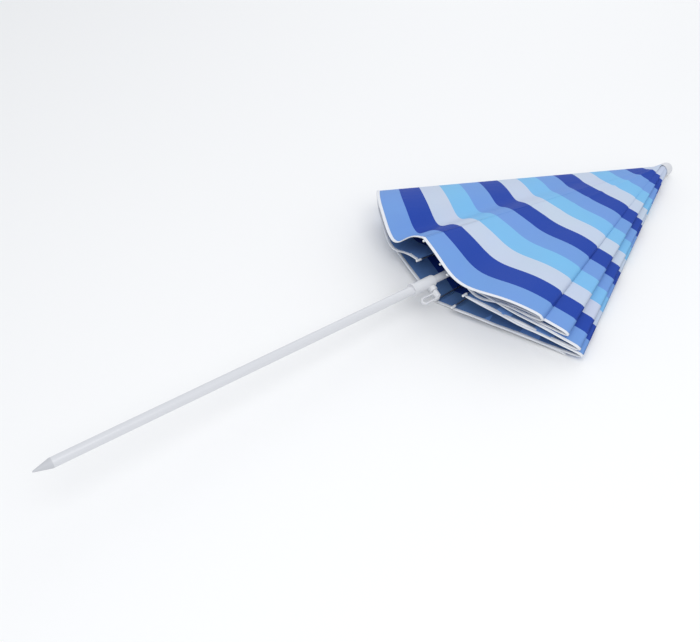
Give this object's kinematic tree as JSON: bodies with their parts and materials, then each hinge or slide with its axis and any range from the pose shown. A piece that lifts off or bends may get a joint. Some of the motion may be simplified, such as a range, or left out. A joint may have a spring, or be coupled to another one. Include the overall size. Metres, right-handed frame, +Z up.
{
  "type": "beach umbrella",
  "caption": "Folding beach umbrella with a striped cloth canopy on hinged ribs, a sliding runner, a telescopic pole with a clamp screw, and a ground spike.",
  "frame": {"origin": "middle of the bounding box on the ground, with the umbrella folded and lying down", "axes": "+X towards the crown, along the pole's length; +Z up; +Y to the side that more of the cloth's first fold lies on"},
  "size_m": [1.954, 0.7224, 0.1618],
  "materials": {
    "pole_tube": "satin white coat",
    "white_plastic": "satin moulded",
    "tip_plastic": "satin moulded",
    "fitting_plastic": "matt moulded",
    "rib_wire": "galvanised",
    "plated_steel": "zinc plated",
    "canopy_cloth": "woven, striped in blues and white"
  },
  "bodies": {
    "lower_pole": {"lower_tube": "pole_tube", "spike_tip": "tip_plastic", "clamp_collar": "white_plastic", "clamp_nut": "plated_steel"},
    "pole_bush": {"collar_bush": "white_plastic"},
    "upper_pole": {"upper_tube": "pole_tube", "crown_hub": "white_plastic", "crown_pins": "plated_steel", "top_cap": "white_plastic", "crown_disc": "canopy_cloth", "catch_spring": "plated_steel"},
    "catch": {"catch_button": "plated_steel"},
    "clamp_screw": {"clamp_stem": "plated_steel", "clamp_handle": "white_plastic", "clamp_pad": "plated_steel"},
    "runner": {"runner": "white_plastic", "runner_pins": "plated_steel"},
    "rib_1": {"rib_1": "rib_wire", "rib_fittings_1": "fitting_plastic"},
    "rib_2": {"rib_2": "rib_wire", "rib_fittings_2": "fitting_plastic", "canopy_2a": "canopy_cloth"},
    "rib_3": {"rib_3": "rib_wire", "rib_fittings_3": "fitting_plastic"},
    "rib_4": {"rib_4": "rib_wire", "rib_fittings_4": "fitting_plastic"},
    "rib_5": {"rib_5": "rib_wire", "rib_fittings_5": "fitting_plastic"},
    "rib_6": {"rib_6": "rib_wire", "rib_fittings_6": "fitting_plastic"},
    "rib_7": {"rib_7": "rib_wire", "rib_fittings_7": "fitting_plastic"},
    "rib_8": {"rib_8": "rib_wire", "rib_fittings_8": "fitting_plastic"},
    "strut_1": {"strut_1": "rib_wire"},
    "strut_2": {"strut_2": "rib_wire"},
    "strut_3": {"strut_3": "rib_wire"},
    "strut_4": {"strut_4": "rib_wire"},
    "strut_5": {"strut_5": "rib_wire"},
    "strut_6": {"strut_6": "rib_wire"},
    "strut_7": {"strut_7": "rib_wire"},
    "strut_8": {"strut_8": "rib_wire"},
    "panel_1a": {"canopy_1a": "canopy_cloth"},
    "panel_1b": {"canopy_1b": "canopy_cloth"},
    "panel_2b": {"canopy_2b": "canopy_cloth"},
    "panel_3a": {"canopy_3a": "canopy_cloth"},
    "panel_3b": {"canopy_3b": "canopy_cloth"},
    "panel_4a": {"canopy_4a": "canopy_cloth"},
    "panel_4b": {"canopy_4b": "canopy_cloth"},
    "panel_5a": {"canopy_5a": "canopy_cloth"},
    "panel_5b": {"canopy_5b": "canopy_cloth"},
    "panel_6a": {"canopy_6a": "canopy_cloth"},
    "panel_6b": {"canopy_6b": "canopy_cloth"},
    "panel_7a": {"canopy_7a": "canopy_cloth"},
    "panel_7b": {"canopy_7b": "canopy_cloth"},
    "panel_8a": {"canopy_8a": "canopy_cloth"},
    "panel_8b": {"canopy_8b": "canopy_cloth"}
  },
  "joints": [
    {"name": "pole_swivel", "type": "hinge", "parent": "lower_pole", "child": "pole_bush", "pos_m": [0.01064, -0.00183, 0.0849], "axis": [0.9976, 0, -0.0691], "continuous": true},
    {"name": "pole_extension", "type": "slide", "parent": "pole_bush", "child": "upper_pole", "axis": [0.9976, 0, -0.0691], "range_m": [0, 0.2]},
    {"name": "runner_slide", "type": "slide", "parent": "upper_pole", "child": "runner", "axis": [0.9976, 0, -0.0691], "range_m": [0, 0.45171], "deforming": ["canopy_1a", "canopy_1b", "canopy_2a", "canopy_2b", "canopy_3a", "canopy_3b", "canopy_4a", "canopy_4b", "canopy_5a", "canopy_5b", "canopy_6a", "canopy_6b", "canopy_7a", "canopy_7b", "canopy_8a", "canopy_8b"]},
    {"name": "catch_press", "type": "slide", "parent": "upper_pole", "child": "catch", "axis": [-0.0691, 0, -0.9976], "range_m": [0, 0.0032], "stiffness_N_per_m": 900, "deforming": ["catch_spring"]},
    {"name": "clamp_screw_turn", "type": "hinge", "parent": "lower_pole", "child": "clamp_screw", "pos_m": [0.01076, -0.02902, 0.07218], "axis": [-0.0292, -0.9063, -0.4216], "range_deg": [0, 540]},
    {"name": "rib_1_hinge", "type": "hinge", "parent": "upper_pole", "child": "rib_1", "pos_m": [0.94197, 0.00637, 0.02857], "axis": [-0.0489, 0.7071, -0.7054], "range_deg": [0, 59.6]},
    {"name": "rib_2_hinge", "type": "hinge", "parent": "upper_pole", "child": "rib_2", "pos_m": [0.94221, -0.00183, 0.03196], "axis": [0, 1, 0], "range_deg": [0, 63.1]},
    {"name": "rib_3_hinge", "type": "hinge", "parent": "upper_pole", "child": "rib_3", "pos_m": [0.94197, -0.01003, 0.02857], "axis": [0.0489, 0.7071, 0.7054], "range_deg": [0, 63.3]},
    {"name": "rib_4_hinge", "type": "hinge", "parent": "upper_pole", "child": "rib_4", "pos_m": [0.9414, -0.01343, 0.02039], "axis": [0.0691, 0, 0.9976], "range_deg": [0, 60.3]},
    {"name": "rib_5_hinge", "type": "hinge", "parent": "upper_pole", "child": "rib_5", "pos_m": [0.94084, -0.01003, 0.0122], "axis": [0.0489, -0.7071, 0.7054], "range_deg": [0, 60.6]},
    {"name": "rib_6_hinge", "type": "hinge", "parent": "upper_pole", "child": "rib_6", "pos_m": [0.9406, -0.00183, 0.00881], "axis": [0, -1, 0], "range_deg": [0, 61.1]},
    {"name": "rib_7_hinge", "type": "hinge", "parent": "upper_pole", "child": "rib_7", "pos_m": [0.94084, 0.00637, 0.0122], "axis": [-0.0489, -0.7071, -0.7054], "range_deg": [0, 60.6]},
    {"name": "rib_8_hinge", "type": "hinge", "parent": "upper_pole", "child": "rib_8", "pos_m": [0.9414, 0.00977, 0.02039], "axis": [-0.0691, 0, -0.9976], "range_deg": [0, 60.6]},
    {"name": "strut_1_hinge", "type": "hinge", "parent": "runner", "child": "strut_1", "pos_m": [0.1459, 0.01281, 0.08283], "axis": [0.0489, -0.7071, 0.7054], "range_deg": [0, 58.89]},
    {"name": "strut_2_hinge", "type": "hinge", "parent": "runner", "child": "strut_2", "pos_m": [0.14646, 0.00337, 0.09102], "axis": [0, -1, 0], "range_deg": [0, 62.36]},
    {"name": "strut_3_hinge", "type": "hinge", "parent": "runner", "child": "strut_3", "pos_m": [0.1464, -0.00911, 0.09016], "axis": [-0.0489, -0.7071, -0.7054], "range_deg": [0, 62.56]},
    {"name": "strut_4_hinge", "type": "hinge", "parent": "runner", "child": "strut_4", "pos_m": [0.14575, -0.01733, 0.08075], "axis": [-0.0691, 0, -0.9976], "range_deg": [0, 59.57]},
    {"name": "strut_5_hinge", "type": "hinge", "parent": "runner", "child": "strut_5", "pos_m": [0.14489, -0.01647, 0.06829], "axis": [-0.0489, 0.7071, -0.7054], "range_deg": [0, 59.87]},
    {"name": "strut_6_hinge", "type": "hinge", "parent": "runner", "child": "strut_6", "pos_m": [0.14432, -0.00703, 0.0601], "axis": [0, 1, 0], "range_deg": [0, 60.37]},
    {"name": "strut_7_hinge", "type": "hinge", "parent": "runner", "child": "strut_7", "pos_m": [0.14438, 0.00546, 0.06096], "axis": [0.0489, 0.7071, 0.7054], "range_deg": [0, 59.87]},
    {"name": "strut_8_hinge", "type": "hinge", "parent": "runner", "child": "strut_8", "pos_m": [0.14503, 0.01367, 0.07037], "axis": [0.0691, 0, 0.9976], "range_deg": [0, 59.87]},
    {"name": "panel_1a_hinge", "type": "hinge", "parent": "rib_1", "child": "panel_1a", "pos_m": [0.46879, 0.04822, 0.10331], "axis": [-0.9886, 0.0665, 0.1352], "range_deg": [0, 45.16]},
    {"name": "panel_1b_hinge", "type": "hinge", "parent": "rib_2", "child": "panel_1b", "pos_m": [0.45971, -0.00183, 0.08534], "axis": [-0.9948, 0, 0.1022], "range_deg": [0, 196.51]},
    {"name": "panel_2b_hinge", "type": "hinge", "parent": "rib_3", "child": "panel_2b", "pos_m": [0.4599, -0.02415, 0.07614], "axis": [-0.9957, -0.021, 0.09], "range_deg": [0, 154.68]},
    {"name": "panel_3a_hinge", "type": "hinge", "parent": "rib_3", "child": "panel_3a", "pos_m": [0.45892, -0.0229, 0.07495], "axis": [0.9957, 0.021, -0.09], "range_deg": [0, 42.16]},
    {"name": "panel_3b_hinge", "type": "hinge", "parent": "rib_4", "child": "panel_3b", "pos_m": [0.46006, -0.05872, 0.05375], "axis": [-0.9943, -0.0819, 0.0689], "range_deg": [0, 109.61]},
    {"name": "panel_4a_hinge", "type": "hinge", "parent": "rib_4", "child": "panel_4a", "pos_m": [0.45908, -0.05699, 0.05382], "axis": [0.9943, 0.0819, -0.0689], "range_deg": [0, 87.89]},
    {"name": "panel_4b_hinge", "type": "hinge", "parent": "rib_5", "child": "panel_4b", "pos_m": [0.45717, -0.04027, 0.01542], "axis": [-0.9984, -0.0542, 0.0148], "range_deg": [0, 56]},
    {"name": "panel_5a_hinge", "type": "hinge", "parent": "rib_5", "child": "panel_5a", "pos_m": [0.45628, -0.03904, 0.01671], "axis": [0.9984, 0.0542, -0.0148], "range_deg": [0, 140.61]},
    {"name": "panel_5b_hinge", "type": "hinge", "parent": "rib_6", "child": "panel_5b", "pos_m": [0.45517, -0.00183, 0.00556], "axis": [-1, 0, 0.0011], "range_deg": [0, 10.92]},
    {"name": "panel_6a_hinge", "type": "hinge", "parent": "rib_6", "child": "panel_6a", "pos_m": [0.45517, -0.00183, 0.00556], "axis": [1, 0, -0.0011], "range_deg": [0, 10.92]},
    {"name": "panel_6b_hinge", "type": "hinge", "parent": "rib_7", "child": "panel_6b", "pos_m": [0.45628, 0.03539, 0.01671], "axis": [-0.9984, 0.0542, 0.0148], "range_deg": [0, 140.61]},
    {"name": "panel_7a_hinge", "type": "hinge", "parent": "rib_7", "child": "panel_7a", "pos_m": [0.45717, 0.03661, 0.01542], "axis": [0.9984, -0.0542, -0.0148], "range_deg": [0, 51.13]},
    {"name": "panel_7b_hinge", "type": "hinge", "parent": "rib_8", "child": "panel_7b", "pos_m": [0.45886, 0.0508, 0.05383], "axis": [-0.9947, 0.0767, 0.0689], "range_deg": [0, 93.13]},
    {"name": "panel_8a_hinge", "type": "hinge", "parent": "rib_8", "child": "panel_8a", "pos_m": [0.45983, 0.05253, 0.05377], "axis": [0.9947, -0.0767, -0.0689], "range_deg": [0, 99.13]},
    {"name": "panel_8b_hinge", "type": "hinge", "parent": "rib_1", "child": "panel_8b", "pos_m": [0.46263, 0.04135, 0.09686], "axis": [-0.9886, 0.0665, 0.1352], "range_deg": [0, 43.92]}
  ],
  "couplings": [
    {"joint": "rib_1_hinge", "follows": "runner_slide", "rad_per_m": 2.3029},
    {"joint": "rib_2_hinge", "follows": "runner_slide", "rad_per_m": 2.4381},
    {"joint": "rib_3_hinge", "follows": "runner_slide", "rad_per_m": 2.4458},
    {"joint": "rib_4_hinge", "follows": "runner_slide", "rad_per_m": 2.3299},
    {"joint": "rib_5_hinge", "follows": "runner_slide", "rad_per_m": 2.3415},
    {"joint": "rib_6_hinge", "follows": "runner_slide", "rad_per_m": 2.3608},
    {"joint": "rib_7_hinge", "follows": "runner_slide", "rad_per_m": 2.3415},
    {"joint": "rib_8_hinge", "follows": "runner_slide", "rad_per_m": 2.3415},
    {"joint": "strut_1_hinge", "follows": "runner_slide", "rad_per_m": 2.2752},
    {"joint": "strut_2_hinge", "follows": "runner_slide", "rad_per_m": 2.4096},
    {"joint": "strut_3_hinge", "follows": "runner_slide", "rad_per_m": 2.4173},
    {"joint": "strut_4_hinge", "follows": "runner_slide", "rad_per_m": 2.3018},
    {"joint": "strut_5_hinge", "follows": "runner_slide", "rad_per_m": 2.3133},
    {"joint": "strut_6_hinge", "follows": "runner_slide", "rad_per_m": 2.3324},
    {"joint": "strut_7_hinge", "follows": "runner_slide", "rad_per_m": 2.3133},
    {"joint": "strut_8_hinge", "follows": "runner_slide", "rad_per_m": 2.3133},
    {"joint": "panel_1a_hinge", "follows": "runner_slide", "rad_per_m": 1.7449},
    {"joint": "panel_1b_hinge", "follows": "runner_slide", "rad_per_m": 7.5928},
    {"joint": "panel_2b_hinge", "follows": "runner_slide", "rad_per_m": 5.9766},
    {"joint": "panel_3a_hinge", "follows": "runner_slide", "rad_per_m": 1.6288},
    {"joint": "panel_3b_hinge", "follows": "runner_slide", "rad_per_m": 4.2351},
    {"joint": "panel_4a_hinge", "follows": "runner_slide", "rad_per_m": 3.3959},
    {"joint": "panel_4b_hinge", "follows": "runner_slide", "rad_per_m": 2.1638},
    {"joint": "panel_5a_hinge", "follows": "runner_slide", "rad_per_m": 5.4331},
    {"joint": "panel_5b_hinge", "follows": "runner_slide", "rad_per_m": 0.42167},
    {"joint": "panel_6a_hinge", "follows": "runner_slide", "rad_per_m": 0.42167},
    {"joint": "panel_6b_hinge", "follows": "runner_slide", "rad_per_m": 5.4331},
    {"joint": "panel_7a_hinge", "follows": "runner_slide", "rad_per_m": 1.9757},
    {"joint": "panel_7b_hinge", "follows": "runner_slide", "rad_per_m": 3.5984},
    {"joint": "panel_8a_hinge", "follows": "runner_slide", "rad_per_m": 3.8303},
    {"joint": "panel_8b_hinge", "follows": "runner_slide", "rad_per_m": 1.697}
  ]
}
